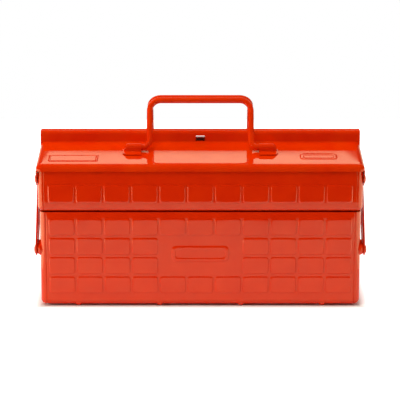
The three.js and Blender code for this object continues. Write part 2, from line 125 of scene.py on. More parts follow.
LID_HALF_LENGTH = 174.5
LIP_Y = -80.2
LIP_BOTTOM_Z = 148.9
FRONT_FOLD = 5.0
END_FOLD_WIDTH = 6.5
END_FOLD_DROP = 5.5
RIDGE_Y = -8.0
RIDGE_Z = 166.4
SLOPE = math.radians(8.46)
RIDGE_FILLET = 1.5
CURL_INNER_Y = -0.5
CURL_TOP_Z = 178.9
CURL_EDGE_Z = 166.2
CLOSER_WIDTH = 2.5
CLOSER_GAP = 0.4
SLOT_HALF_WIDTH = 4.85
SLOT_Z = (167.9, 173.4)
LID_PIVOT = (-70.0, 139.0)
EAR_RADIUS = 7.0
EAR_SPREAD = 2.5

ROD_RADIUS = 3.2
FOOT_Y = -37.0
FOOT_HEIGHT = 4.5
FOOT_END_X = 81.0
LEG_X = 54.8
HANDLE_RISE = 55.2
HANDLE_LEAN = math.radians(33.4)
TOP_BEND = 12.0
FOOT_BEND = 8.0
CLIP_X = (63.5, 83.5)
CLIP_SHEET = 0.9
CLIP_FRONT_FLANGE = 9.0
CLIP_REAR_FLANGE = 5.0
CLIP_FILLET = 1.4
CLIP_DOME = 5.0
CLIP_BRIM = 1.0

DIVIDER_HEIGHT = 32.0
DIVIDER_FOOT = 10.0
DIVIDER_CORNER = 5.0
DIVIDER_TOP_CORNER = 2.0
DIVIDER_BEND = 1.2

# ---- Small tools --------------------------------------------------------------------------------

# A press mark on a sheet: a raised rounded rectangle with soft flanks.
Press = namedtuple("Press", "x v width height radius rise flank")
# Distances in from the edge of a press mark at which its flank needs a line of vertices.
EDGE_OFFSETS = (-0.25, 0.08, 0.25, 0.45, 0.7, 1.15, 1.9, 3.0)
LINE_SPACING = 0.12
WELD = 0.003


def smoothstep(t):
    t = min(max(t, 0.0), 1.0)
    return t * t * (3.0 - 2.0 * t)


def lerp(a, b, t):
    return a + (b - a) * t


def steps(a, b, count):
    return [lerp(a, b, i / count) for i in range(count + 1)]


def press_height(press, x, v):
    across = abs(x - press.x) - press.width / 2 + press.radius
    along = abs(v - press.v) - press.height / 2 + press.radius
    outside = math.hypot(max(across, 0.0), max(along, 0.0))
    distance = outside + min(max(across, along), 0.0) - press.radius
    return press.rise * smoothstep(-distance / press.flank)


def relief(presses, x, v):
    height = 0.0
    for press in presses:
        if abs(x - press.x) < press.width / 2 and abs(v - press.v) < press.height / 2:
            height += press_height(press, x, v)
    return height


def edge_lines(centre, size):
    half = size / 2
    return [centre + side * (half - offset) for side in (-1, 1) for offset in EDGE_OFFSETS]


def lines(low, high, *groups):
    """Sorted places for lines of vertices, with both limits and no two nearly together."""
    wanted = sorted(v for group in groups for v in group if low + LINE_SPACING < v < high - LINE_SPACING)
    kept = [low]
    for value in wanted:
        if value - kept[-1] > LINE_SPACING:
            kept.append(value)
    return kept + [high]


# ---- Shapes: lists of vertices and faces ---------------------------------------------------------


def grid(rows, skip=None):
    vertices = [point for row in rows for point in row]
    width = len(rows[0])
    faces = []
    for i in range(len(rows) - 1):
        for j in range(width - 1):
            if skip is None or not skip(i, j):
                corner = i * width + j
                faces.append((corner, corner + 1, corner + width + 1, corner + width))
    return vertices, faces


def merge(*shapes):
    vertices, faces = [], []
    for shape_vertices, shape_faces in shapes:
        start = len(vertices)
        vertices.extend(shape_vertices)
        faces.extend(tuple(start + i for i in face) for face in shape_faces)
    return vertices, faces


def moved(shape, matrix):
    vertices, faces = shape
    return [tuple(matrix @ Vector(v)) for v in vertices], faces


def lathe(profile, y, z, side):
    """A turned solid along X: the profile holds pairs of distance along X and radius."""
    rows = []
    for x, radius in profile:
        angles = [2 * math.pi * k / ROUND_SIDES for k in range(ROUND_SIDES + 1)]
        rows.append([(side * x, y + radius * math.cos(a), z + radius * math.sin(a)) for a in angles])
    return grid(rows)


def inset_outline(outline, distance):
    count = len(outline)
    moved_points = []
    for i, (y, z) in enumerate(outline):
        before, after = outline[i - 1], outline[(i + 1) % count]
        direction = Vector((after[0] - before[0], after[1] - before[1])).normalized()
        moved_points.append((y - direction.y * distance, z + direction.x * distance))
    return moved_points


def plate(outline, x0, x1, bevel=0.2):
    """A flat solid across X with softened edges. The outline runs anticlockwise in Y and Z."""
    small = inset_outline(outline, bevel)
    layers = ((x0, small), (x0 + bevel, outline), (x1 - bevel, outline), (x1, small))
    count = len(outline)
    vertices = [(x, y, z) for x, ring in layers for y, z in ring]
    faces = [tuple(reversed(range(count))), tuple(range(3 * count, 4 * count))]
    for layer in range(3):
        for i in range(count):
            j = (i + 1) % count
            low, high = layer * count, (layer + 1) * count
            faces.append((low + i, low + j, high + j, high + i))
    return vertices, faces


def arc(cy, cz, radius, start, end, count):
    angles = steps(math.radians(start), math.radians(end), count)
    return [(cy + radius * math.cos(a), cz + radius * math.sin(a)) for a in angles]


def bmesh_of(shape):
    vertices, faces = shape
    mesh = bpy.data.meshes.new("shape")
    mesh.from_pydata(vertices, [], faces)
    bm = bmesh.new()
    bm.from_mesh(mesh)
    bpy.data.meshes.remove(mesh)
    bmesh.ops.remove_doubles(bm, verts=bm.verts, dist=WELD)
    bmesh.ops.recalc_face_normals(bm, faces=bm.faces)
    return bm


def thicken(shape, inside, thickness=SHEET):
    """Turns an outer surface into sheet metal that grows towards the point `inside`."""
    bm = bmesh_of(shape)
    inside = Vector(inside)
    outward = sum(f.normal.dot(f.calc_center_median() - inside) * f.calc_area() for f in bm.faces)
    if outward < 0:
        bmesh.ops.reverse_faces(bm, faces=bm.faces)
    mesh = bpy.data.meshes.new("sheet")
    bm.to_mesh(mesh)
    bm.free()
    holder = bpy.data.objects.new("sheet", mesh)
    bpy.context.scene.collection.objects.link(holder)
    solidify = holder.modifiers.new("Thickness", "SOLIDIFY")
    solidify.thickness = thickness
    solidify.offset = -1.0
    solidify.use_even_offset = True
    solidify.thickness_clamp = 1.0
    evaluated = holder.evaluated_get(bpy.context.evaluated_depsgraph_get())
    result = evaluated.to_mesh()
    vertices = [tuple(v.co) for v in result.vertices]
    faces = [tuple(p.vertices) for p in result.polygons]
    evaluated.to_mesh_clear()
    bpy.data.objects.remove(holder)
    bpy.data.meshes.remove(mesh)
    return vertices, faces


HALF_TURN = Matrix.Rotation(math.pi, 4, "Z")


def add_piece(node, shape, body, material_slot, turned=False):
    """Makes the visible piece that stands for one CAD node."""
    bm = bmesh_of(moved(shape, HALF_TURN) if turned else shape)
    bmesh.ops.scale(bm, vec=(MM, MM, MM), verts=bm.verts)
    mesh = bpy.data.meshes.new(f"{node}_skin")
    bm.to_mesh(mesh)
    bm.free()
    mesh.shade_smooth()
    mesh.set_sharp_from_angle(angle=SHARP_ANGLE)
    mesh.materials.append(materials[material_slot])
    piece = bpy.data.objects.new(f"{node}_skin", mesh)
    bpy.context.scene.collection.objects.link(piece)
    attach(piece, body)
    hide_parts(node)
    return piece


# ---- Troughs: the lower box and the trays ---------------------------------------------------------

# A point of a trough's section, with the way it faces and the part of the sheet it is on.
SectionPoint = namedtuple("SectionPoint", "y z ny nz part")


def section_arc(cy, cz, radius, start, end, count, part):
    points = []
    for degrees in steps(start, end, count):
        ny, nz = math.cos(math.radians(degrees)), math.sin(math.radians(degrees))
        points.append(SectionPoint(cy + radius * ny, cz + radius * nz, ny, nz, part))
    return points


def trough_section(trough, front_zs, floor_ys, rear_zs):
    """The outer surface from the front rim, down, along the floor and up to the rear rim."""
    low = trough.floor_z + CORNER
    front = [SectionPoint(trough.y_min, z, -1, 0, "front") for z in reversed(front_zs)]
    floor = [SectionPoint(y, trough.floor_z, 0, -1, "floor") for y in floor_ys]
    rear = [SectionPoint(trough.y_max, z, 1, 0, "rear") for z in rear_zs]
    front_bend = section_arc(trough.y_min + CORNER, low, CORNER, 180, 270, BEND_STEPS, "bend")
    rear_bend = section_arc(trough.y_max - CORNER, low, CORNER, 270, 360, BEND_STEPS, "bend")
    return front + front_bend[1:-1] + floor + rear_bend[1:-1] + rear


def hem_section(wall_y, rim_z, inward):
    """The rim, folded over and down the inside of the wall. `inward` is the way into the trough."""
    centre_y = wall_y + inward * HEM_RADIUS
    leaf_y = wall_y + 2 * inward * HEM_RADIUS
    top = rim_z - HEM_RADIUS
    leaf_zs = (rim_z - HEM_DEPTH, rim_z - HEM_DEPTH / 2)
    leaf = [SectionPoint(leaf_y, z, inward, 0, "hem") for z in leaf_zs]
    start = 0 if inward > 0 else 180
    fold = section_arc(centre_y, top, HEM_RADIUS, start, 180 - start, 6, "fold")
    return leaf + fold[:-1]


def lean_shift(trough, point, depth=0.0):
    """How far a tray's lower front wall stands back, fading with depth into the corner."""
    if trough.lean == 0 or point.ny >= 0 or point.part in ("hem", "fold") or point.z > LEAN_TOP_Z:
        return 0.0
    return trough.lean * (LEAN_TOP_Z - point.z) * -point.ny * (1 - depth / CORNER)


def rib_height(x, point):
    """Ribs stand down from the floor and run a little way up the bends."""
    wrap = smoothstep((-point.nz - 0.3) / 0.7)
    for rib_x in RIB_XS:
        outer, inner = RIB_HALF_WIDTHS
        offset = abs(x - rib_x)
        if offset < outer:
            return BOX.floor_z * wrap * smoothstep((outer - offset) / (outer - inner))
    return 0.0


def seam_roll(x, reach, depth):
    """The sheet's end edges turn in slightly at the seam."""
    t = max(0.0, (abs(x) - (reach - SEAM_ROLL)) / SEAM_ROLL)
    return -depth * t * t


def shell_xs(presses, has_ribs, reach, hem_reach):
    """Where the shell needs vertices along its length."""
    press_xs = [x for p in presses for x in edge_lines(p.x, p.width)]
    ribs = RIB_XS if has_ribs else ()
    rib_xs = [rib_x + side * offset for rib_x in ribs for side in (-1, 1) for offset in RIB_OFFSETS]
    ends = [side * (reach - offset) for side in (-1, 1) for offset in SEAM_OFFSETS]
    return lines(-reach, reach, press_xs, rib_xs, ends, [-hem_reach, hem_reach])


def shell_section(trough, front_presses, rear_presses, has_ribs):
    """The section with its hems, with points wherever a press mark or a rib needs them."""
    low, top = trough.floor_z + CORNER, trough.rim_z - HEM_RADIUS
    lean_zs = [LEAN_TOP_Z, LEAN_LINE_Z] if trough.lean else []
    front_vs = [v for p in front_presses for v in edge_lines(p.v, p.height)]
    rear_vs = [v for p in rear_presses for v in edge_lines(p.v, p.height)]
    floor_end = trough.y_max - CORNER
    rib_ends = [side * (floor_end - d) for side in (-1, 1) for d in (1, 8)] if has_ribs else []
    floor_ys = lines(trough.y_min + CORNER, floor_end, rib_ends)
    walls = trough_section(trough, lines(low, top, front_vs, lean_zs), floor_ys, lines(low, top, rear_vs))
    front_hem = hem_section(trough.y_min, trough.rim_z, 1)
    rear_hem = hem_section(trough.y_max, trough.rim_z, -1)
    return front_hem + walls + rear_hem[::-1]


def shell_relief(point, x, front_presses, rear_presses, has_ribs):
    if point.part == "front":
        return relief(front_presses, x, point.z)
    if point.part == "rear":
        return relief(rear_presses, x, point.z)
    if has_ribs and point.part in ("floor", "bend"):
        return rib_height(x, point)
    return 0.0


def trough_shell(trough, front_presses, rear_presses, has_ribs):
    """One sheet: front wall, floor and rear wall, with a hem along each rim."""
    reach = trough.half_length - SEAM_INSET
    hem_reach = trough.half_length - FLANGE_DEPTH - GAP
    xs = shell_xs(front_presses + rear_presses, has_ribs, reach, hem_reach)
    section = shell_section(trough, front_presses, rear_presses, has_ribs)
    rows = []
    for point in section:
        row = []
        for x in xs:
            height = seam_roll(x, reach, trough.seam_depth)
            height += shell_relief(point, x, front_presses, rear_presses, has_ribs)
            y = point.y + point.ny * height + lean_shift(trough, point)
            row.append((x, y, point.z + point.nz * height))
        rows.append(row)

    def beyond_hem(i, j):
        middle = (xs[j] + xs[j + 1]) / 2
        return abs(middle) > hem_reach and "hem" in (section[i].part, section[i + 1].part)

    return thicken(grid(rows, beyond_hem), trough_middle(trough))


def trough_middle(trough):
    return (0, (trough.y_min + trough.y_max) / 2, (trough.floor_z + trough.rim_z) / 2)


BADGE = Press(x=0, v=BADGE_Z, width=62, height=18, radius=6, rise=0.85, flank=1.4)
BADGE_FIELD = Press(x=0, v=BADGE_Z, width=54.5, height=10.5, radius=3.5, rise=-0.45, flank=0.9)


def pad(x, v, height):
    return Press(x, v, PAD_WIDTH, height, PAD_RADIUS, PAD_RISE, PAD_FLANK)


def pad_row(v, height, is_blank):
    middle = (PAD_COLUMNS - 1) // 2
    offsets = [column - middle for column in range(PAD_COLUMNS)]
    return [pad(offset * PAD_PITCH_X, v, height) for offset in offsets if not is_blank(offset)]


def box_presses(has_badge):
    presses = []
    for row in range(BOX_PAD_ROWS):
        v = BOX_PAD_TOP_Z - row * BOX_PAD_PITCH_Z - BOX_PAD_HEIGHT / 2
        middle = has_badge and row in (1, 2)
        presses += pad_row(v, BOX_PAD_HEIGHT, lambda offset: middle and abs(offset) <= 1)
    if has_badge:
        presses += [BADGE, BADGE_FIELD]
    return presses


def tray_presses():
    return pad_row(TRAY_PAD_TOP_Z - TRAY_PAD_HEIGHT / 2, TRAY_PAD_HEIGHT, lambda offset: False)


def pan_rings(half_length):
    """From the end plate round the corner and down behind the shell: pairs of X and depth."""
    rings = []
    for degrees in (90, 78, 66, 54, 42, 30, 18, 9):
        angle = math.radians(degrees)
        rings.append((half_length - CORNER + CORNER * math.sin(angle), CORNER * (1 - math.cos(angle))))
    seam = half_length - SEAM_INSET + SEAM_GAP
    rings += [(seam + 0.12, 0.05), (seam, 0.2), (seam, 0.7), (seam - 0.2, 1.0), (seam - 0.5, TUCK)]
    return rings + [(half_length - FLANGE_DEPTH, TUCK)]


def trough_end(trough, side):
    """The pressed end pan: plate, hem, rounded corners, tucked flange and bosses."""
    low = trough.floor_z + CORNER
    top = trough.rim_z - HEM_RADIUS
    zs = lines(low, trough.rim_z, [LEAN_TOP_Z, top] + steps(low, trough.rim_z, 6))
    ys = lines(trough.y_min + CORNER, trough.y_max - CORNER, steps(trough.y_min, trough.y_max, 12))
    section = trough_section(trough, zs, ys, zs)
    rows = []
    for x, depth in pan_rings(trough.half_length):
        row = []
        for point in section:
            y = point.y - point.ny * depth + lean_shift(trough, point, depth)
            row.append((side * x, y, point.z - point.nz * depth))
        rows.append(row)
    wall_x = trough.half_length
    plate_rows = [[(side * wall_x, y, z) for y in ys] for z in zs if z <= top + LINE_SPACING]
    fold = arc(wall_x - HEM_RADIUS, top, HEM_RADIUS, 0, 180, 6)
    leaf = [(wall_x - 2 * HEM_RADIUS, trough.rim_z - HEM_DEPTH)]
    plate_rows += [[(side * x, y, z) for y in ys] for x, z in fold[1:] + leaf]
    pan = thicken(merge(grid(rows), grid(plate_rows)), trough_middle(trough))
    bosses = [boss(trough, y, side) for y in trough.pivot_ys]
    return merge(pan, *bosses)


def boss(trough, y, side):
    """A conical boss that spaces an arm off the wall. Near a corner it starts deeper."""
    wall_x = trough.half_length
    rise = BOSS_TOP_X - wall_x
    base = BOSS_TOP_RADIUS + BOSS_SPREAD * rise
    to_edge = min(y - trough.y_min, trough.y_max - y)
    is_near_corner = to_edge < CORNER + base
    depth = BOSS_CORNER_DEPTH if is_near_corner else BOSS_DEPTH
    flare = 0.0 if is_near_corner else BOSS_FLARE
    profile = [
        (wall_x - depth, 0.0),
        (wall_x - depth, BOSS_TOP_RADIUS),
        (wall_x - 0.1, base + flare),
        (wall_x + 0.12, base + flare * 0.55),
        (wall_x + 0.45, base + flare * 0.1),
        (BOSS_TOP_X - 0.55, BOSS_TOP_RADIUS + 0.35),
        (BOSS_TOP_X - 0.15, BOSS_TOP_RADIUS + 0.05),
        (BOSS_TOP_X, BOSS_TOP_RADIUS - 0.35),
        (BOSS_TOP_X, 0.0),
    ]
    return lathe(profile, y, trough.pivot_z, side)


def divider():
    """A cross wall with rounded corners, on a folded foot."""
    floor = TRAY.floor_z + SHEET + GAP
    y0 = TRAY.y_min + 2 * SHEET + GAP
    y1 = TRAY.y_max - 2 * SHEET - GAP
    top = floor + DIVIDER_HEIGHT
    r = DIVIDER_CORNER
    outline = arc(y0 + r, floor + r, r, 180, 270, 6) + arc(y1 - r, floor + r, r, 270, 360, 6)
    q = DIVIDER_TOP_CORNER
    outline += arc(y1 - q, top - q, q, 0, 90, 4) + arc(y0 + q, top - q, q, 90, 180, 4)
    wall = plate(outline, 0, SHEET)
    foot_section = [(0.4, floor), (DIVIDER_FOOT, floor), (DIVIDER_FOOT, floor + SHEET)]
    bend = floor + SHEET + DIVIDER_BEND
    foot_section += arc(SHEET + DIVIDER_BEND, bend, DIVIDER_BEND, 270, 180, 4) + [(0.4, bend)]
    foot = plate(foot_section, y0 + r, y1 - r)
    swapped = [(y, x, z) for x, y, z in foot[0]]
    return merge(wall, (swapped, foot[1]))


# ---- Lid -----------------------------------------------------------------------------------------


def slope_z(y):
    return RIDGE_Z + (y - RIDGE_Y) * math.tan(SLOPE)


# On the front lid only: a label frame on the left and a plain raised bar on the right.
LID_MARKS = [
    Press(x=-135.5, v=-58.5, width=53, height=20, radius=1.2, rise=0.55, flank=1.1),
    Press(x=-135.5, v=-58.5, width=49.4, height=16.4, radius=0.8, rise=-0.3, flank=0.8),
    Press(x=126.5, v=-54, width=40, height=16, radius=4, rise=0.6, flank=1.3),
    Press(x=126.5, v=-54, width=33, height=9, radius=2.5, rise=-0.3, flank=0.9),
]


def curl_rows():
    """The ridge section from the end of the slope: fillet, leg, curl and inner leg. The last
    value of each point says how much of the end fold's drop it follows."""
    centre_y = RIDGE_Y - RIDGE_FILLET
    centre_z = slope_z(centre_y) + RIDGE_FILLET / math.cos(SLOPE)
    fillet = arc(centre_y, centre_z, RIDGE_FILLET, -90 + math.degrees(SLOPE), 0, 5)
    radius = (CURL_INNER_Y - RIDGE_Y) / 2
    arc_z = CURL_TOP_Z - radius
    leg = [(RIDGE_Y, z) for z in lines(centre_z, arc_z, SLOT_Z)[1:-1]]
    curl = arc((RIDGE_Y + CURL_INNER_Y) / 2, arc_z, radius, 180, 0, 14)
    inner = [(CURL_INNER_Y, z) for z in reversed(lines(CURL_EDGE_Z, arc_z, SLOT_Z)[:-1])]
    rows = [(y, z, 1.0) for y, z in fillet]
    rows += [(y, z, (arc_z - z) / (arc_z - centre_z)) for y, z in leg]
    return rows + [(y, z, 0.0) for y, z in curl + inner]


FOLD_ANGLES = steps(0, math.pi / 2, BEND_STEPS)
SKIRT_STEPS = (0.5, 1.0)


def lid_columns(xs):
    """Columns across the lid: pairs of X and the drop of the end fold there."""
    base = LID_HALF_LENGTH - END_FOLD_WIDTH
    width, depth = END_FOLD_WIDTH, END_FOLD_DROP
    fold = [(base + width * math.sin(a), depth * (1 - math.cos(a))) for a in FOLD_ANGLES]
    left = [(-x, drop) for x, drop in reversed(fold)]
    return left + [(x, 0.0) for x in xs[1:-1]] + fold


def with_skirts(y, columns):
    """One row of the lid's top, carried down to the skirt's edge at both ends."""
    top = slope_z(y)
    row = [(x, y, top - drop) for x, drop in columns]
    down = [lerp(top - END_FOLD_DROP, LIP_BOTTOM_Z, t) for t in SKIRT_STEPS]
    left = [(-LID_HALF_LENGTH, y, z) for z in reversed(down)]
    right = [(LID_HALF_LENGTH, y, z) for z in down]
    return left + row + right


def fold_point(x, y, out_x, out_y, drop, angle):
    """A point on a fold that starts flat at x, y and turns down outwards."""
    px, py = x + out_x * math.sin(angle), y + out_y * math.sin(angle)
    return (px, py, slope_z(py) - drop * (1 - math.cos(angle)))


def fold_column(x, y, out_x, out_y, drop):
    column = [fold_point(x, y, out_x, out_y, drop, angle) for angle in FOLD_ANGLES]
    px, py, pz = column[-1]
    return column + [(px, py, lerp(pz, LIP_BOTTOM_Z, t)) for t in SKIRT_STEPS]


def lid_surface(presses):
    """The outer surface: sloping top, folds and skirts, and the ridge with its slot."""
    base_x = LID_HALF_LENGTH - END_FOLD_WIDTH
    base_y = LIP_Y + FRONT_FOLD
    press_xs = [x for p in presses for x in edge_lines(p.x, p.width)]
    press_ys = [v for p in presses for v in edge_lines(p.v, p.height)]
    slot_xs = [-SLOT_HALF_WIDTH, SLOT_HALF_WIDTH]
    xs = lines(-base_x, base_x, press_xs, slot_xs, steps(-base_x, base_x, 24))
    ridge = curl_rows()
    ys = lines(base_y, ridge[0][0], press_ys, steps(base_y, ridge[0][0], 8))
    columns = lid_columns(xs)
    rows = []
    for y in ys:
        row = with_skirts(y, columns)
        rows.append([(px, py, pz + relief(presses, px, py)) for px, py, pz in row])
    top = grid(rows)
    curl = [[(x, y, z - drop * follow) for x, drop in columns] for y, z, follow in ridge]

    def in_slot(i, j):
        middle_x = (columns[j][0] + columns[j + 1][0]) / 2
        middle_z = (ridge[i][1] + ridge[i + 1][1]) / 2
        return abs(middle_x) < SLOT_HALF_WIDTH and SLOT_Z[0] < middle_z < SLOT_Z[1]

    lip = grid([fold_column(x, base_y, 0, -FRONT_FOLD, FRONT_FOLD) for x in xs])
    return merge(top, grid(curl, in_slot), lip, lid_corner(-1), lid_corner(1))


def lid_corner(side):
    """A rounded corner between the front fold and an end fold."""
    base_x = side * (LID_HALF_LENGTH - END_FOLD_WIDTH)
    columns = []
    for turn in steps(0, math.pi / 2, BEND_STEPS):
        out_x = side * END_FOLD_WIDTH * math.cos(turn)
        out_y = -FRONT_FOLD * math.sin(turn)
        drop = END_FOLD_DROP * math.cos(turn) ** 2 + FRONT_FOLD * math.sin(turn) ** 2
        columns.append(fold_column(base_x, LIP_Y + FRONT_FOLD, out_x, out_y, drop))
    return grid(columns)


def ear_outline():
    y, z = LID_PIVOT
    top = LIP_BOTTOM_Z + SHEET
    root = EAR_RADIUS + EAR_SPREAD
    return [(y + root, top), (y - root, top)] + arc(y, z, EAR_RADIUS, 180, 360, 14)


def lid(is_marked):
    """The pressed lid, with a plate closing each end of the ridge and a hinge ear on each end."""
    sheet = thicken(lid_surface(LID_MARKS if is_marked else []), (0, -40, 0))
    parts = [sheet]
    near, far = RIDGE_Y - CLOSER_WIDTH, CURL_INNER_Y - SHEET
    top = RIDGE_Z - CLOSER_GAP
    closer = [(near, LIP_BOTTOM_Z), (far, LIP_BOTTOM_Z), (far, top), (near, top - END_FOLD_DROP)]
    for side in (-1, 1):
        inner, outer = LID_HALF_LENGTH - SHEET, LID_HALF_LENGTH
        x0, x1 = sorted((side * inner, side * outer))
        parts += [plate(closer, x0, x1, 0.1), plate(ear_outline(), x0, x1)]
    return merge(*parts)


# ---- Handle and clips --------------------------------------------------------------------------

SEAT = Matrix.Translation((0, FOOT_Y, slope_z(FOOT_Y))) @ Matrix.Rotation(SLOPE, 4, "X")
BAIL = SEAT @ Matrix.Translation((0, 0, FOOT_HEIGHT)) @ Matrix.Rotation(-HANDLE_LEAN - SLOPE, 4, "X")


def bail_path():
    """Places along the rod's middle, in its own plane, with the heading at each."""
    half = [(FOOT_END_X, 0.0, math.pi)]
    bend = FOOT_BEND
    for turn in steps(0, math.pi / 2, 12):
        half.append((LEG_X + bend * (1 - math.sin(turn)), bend * (1 - math.cos(turn)), math.pi - turn))
    bend = TOP_BEND
    for turn in steps(0, math.pi / 2, 14):
        x = LEG_X - bend * (1 - math.cos(turn))
        z = HANDLE_RISE - bend * (1 - math.sin(turn))
        half.append((x, z, math.pi / 2 + turn))
    other = [(-x, z, 2 * math.pi - heading) for x, z, heading in reversed(half)]
    return half + other


def rod_ring(x, z, heading, radius):
    across = Vector((math.sin(heading), 0, -math.cos(heading)))
    ring = []
    for k in range(ROUND_SIDES + 1):
        angle = 2 * math.pi * k / ROUND_SIDES
        offset = across * math.cos(angle) + Vector((0, 1, 0)) * math.sin(angle)
        ring.append(tuple(Vector((x, 0, z)) + offset * radius))
    return ring


def rod_end(side):
    """Rings of a slightly domed end, from its middle outwards."""
    rings = []
    for angle in steps(0, math.pi / 2, 4):
        x = side * (FOOT_END_X - 1 + math.cos(angle))
        rings.append(rod_ring(x, 0.0, math.pi, ROD_RADIUS * math.sin(angle)))
    return rings


def handle():
    body = [rod_ring(x, z, heading, ROD_RADIUS) for x, z, heading in bail_path()[1:-1]]
    rows = rod_end(1) + body + rod_end(-1)[::-1]
    return moved(grid(rows), BAIL)


def clip_section():
    """Half a clip's section across the rod: front flange, fillet, tube, fillet, rear flange.
    The last value is 1 on the tube and 0 on the flanges."""
    radius = ROD_RADIUS + GAP + CLIP_SHEET
    top = GAP + CLIP_SHEET
    front = [(-radius - CLIP_FRONT_FLANGE * t, top, 0) for t in (1.0, 0.95, 0.6)]
    front_fillet = arc(-radius - CLIP_FILLET, top + CLIP_FILLET, CLIP_FILLET, -90, 0, 4)
    tube = arc(0, FOOT_HEIGHT, radius, 180, 0, 16)
    rear_fillet = arc(radius + CLIP_FILLET, top + CLIP_FILLET, CLIP_FILLET, 180, 270, 4)
    rear = [(radius + CLIP_REAR_FLANGE * t, top, 0) for t in (0.6, 0.95, 1.0)]
    middle = [(y, z, 1) for y, z in front_fillet + tube + rear_fillet]
    return front + middle + rear


def clip(side):
    """A pressed saddle over the rod's foot, domed shut at its outer end."""
    inner, outer = CLIP_X
    dome_start = outer - CLIP_BRIM - CLIP_DOME
    stations = [(x, 0.0) for x in (inner, inner + 0.3, lerp(inner, dome_start, 0.5))]
    angles = steps(0, math.pi / 2, 8)
    stations += [(dome_start + CLIP_DOME * math.sin(a), a) for a in angles] + [(outer, math.pi / 2)]
    floor = GAP + CLIP_SHEET
    radius = ROD_RADIUS + GAP + CLIP_SHEET
    rows = []
    for x, angle in stations:
        shrink = math.cos(angle)
        row = []
        for y, z, on_tube in clip_section():
            if on_tube:
                row.append((side * x, y * lerp(0.55, 1.0, shrink), lerp(floor, z, shrink)))
            else:
                reach = lerp(0.5, 1.0, shrink ** 0.7)
                row.append((side * x, math.copysign(radius + (abs(y) - radius) * reach, y), z))
        rows.append(row)
    sheet = thicken(grid(rows), (side * lerp(inner, outer, 0.5), 0, -50), CLIP_SHEET)
    return moved(sheet, SEAT)


# ---- Arms and rivets ---------------------------------------------------------------------------


def arm(index, side):
    """A flat link between a lower and an upper pivot."""
    low = Vector((BOX.pivot_ys[index], BOX.pivot_z))
    high = Vector((TRAY.pivot_ys[index], TRAY.pivot_z))
    lean = math.degrees(math.atan2(high.y - low.y, high.x - low.x)) - 90
    outline = arc(low.x, low.y, ARM_RADIUS, 180 + lean, 360 + lean, 14)
    outline += arc(high.x, high.y, ARM_RADIUS, lean, 180 + lean, 14)
    x0, x1 = sorted((side * ARM_X, side * (ARM_X + ARM_THICKNESS)))
    return plate(outline, x0, x1, 0.3)


def rivet(y, z, head_x, tail_x, side):
    head_radius, head_height = RIVET_HEAD
    tail_radius, tail_height = RIVET_TAIL
    profile = [
        (tail_x - tail_height, 0.0),
        (tail_x - tail_height, tail_radius * 0.7),
        (tail_x - tail_height * 0.6, tail_radius),
        (tail_x, tail_radius),
        (tail_x, RIVET_SHANK_RADIUS),
        (head_x, RIVET_SHANK_RADIUS),
        (head_x, head_radius - 0.15),
        (head_x + 0.18, head_radius),
    ]
    for angle in steps(math.radians(12), math.pi / 2, 7):
        profile.append((head_x + head_height * math.sin(angle), head_radius * math.cos(angle)))
    return lathe(profile, y, z, side)


# ---- Materials ---------------------------------------------------------------------------------


class Nodes:
    """Short ways to add and join shader nodes."""

    def __init__(self, tree):
        self.tree = tree
        tree.nodes.clear()

    def add(self, kind, **inputs):
        node = self.tree.nodes.new(kind)
        for name, value in inputs.items():
            node.inputs[name.replace("_", " ")].default_value = value
        return node

    def join(self, source, output, target, socket):
        self.tree.links.new(source.outputs[output], target.inputs[socket])

    def noise(self, coordinates, scale, detail=2.0):
        node = self.add("ShaderNodeTexNoise", Scale=scale, Detail=detail)
        self.join(coordinates, "Object", node, "Vector")
        return node

    def between(self, noise, low, high):
        node = self.add("ShaderNodeMapRange", To_Min=low, To_Max=high, From_Min=0.3, From_Max=0.7)
        self.join(noise, "Fac", node, "Value")
        return node

    def bump(self, noise, distance, before=None):
        node = self.add("ShaderNodeBump", Distance=distance, Strength=1.0)
        self.join(noise, "Fac", node, "Height")
        if before is not None:
            self.join(before, "Normal", node, "Normal")
        return node


Enamel = namedtuple("Enamel", "deep light roughness peel wave")
WHITE_COLOR = (1.0, 1.0, 1.0, 1.0)
GLOSS_TINT = (1.0, 0.92, 0.62, 1.0)
CLOUD_SCALE = 38.0
HAZE_SCALE = 24.0
WAVE_SCALE = 13.0
PEEL_SCALE = 330.0


def enamel_material(name, look):
    """Stove enamel: a deep colour with a warm gloss, orange peel and slightly wavy sheet."""
    material = bpy.data.materials.new(name)
    material.use_nodes = True
    nodes = Nodes(material.node_tree)
    place = nodes.add("ShaderNodeTexCoord")
    shader = nodes.add("ShaderNodeBsdfPrincipled")
    output = nodes.add("ShaderNodeOutputMaterial")
    nodes.join(shader, "BSDF", output, "Surface")
    ramp = nodes.add("ShaderNodeValToRGB")
    ramp.color_ramp.elements[0].position = 0.35
    ramp.color_ramp.elements[0].color = look.deep
    ramp.color_ramp.elements[1].position = 0.65
    ramp.color_ramp.elements[1].color = look.light
    nodes.join(nodes.noise(place, CLOUD_SCALE, 3.0), "Fac", ramp, "Fac")
    nodes.join(ramp, "Color", shader, "Base Color")
    haze = nodes.between(nodes.noise(place, HAZE_SCALE, 4.0), look.roughness * 0.7, look.roughness * 1.4)
    nodes.join(haze, "Result", shader, "Roughness")
    wave = nodes.bump(nodes.noise(place, WAVE_SCALE, 1.0), look.wave)
    peel = nodes.bump(nodes.noise(place, PEEL_SCALE, 1.0), look.peel, wave)
    nodes.join(peel, "Normal", shader, "Normal")
    shader.inputs["IOR"].default_value = 1.5
    shader.inputs["Specular Tint"].default_value = GLOSS_TINT
    return material


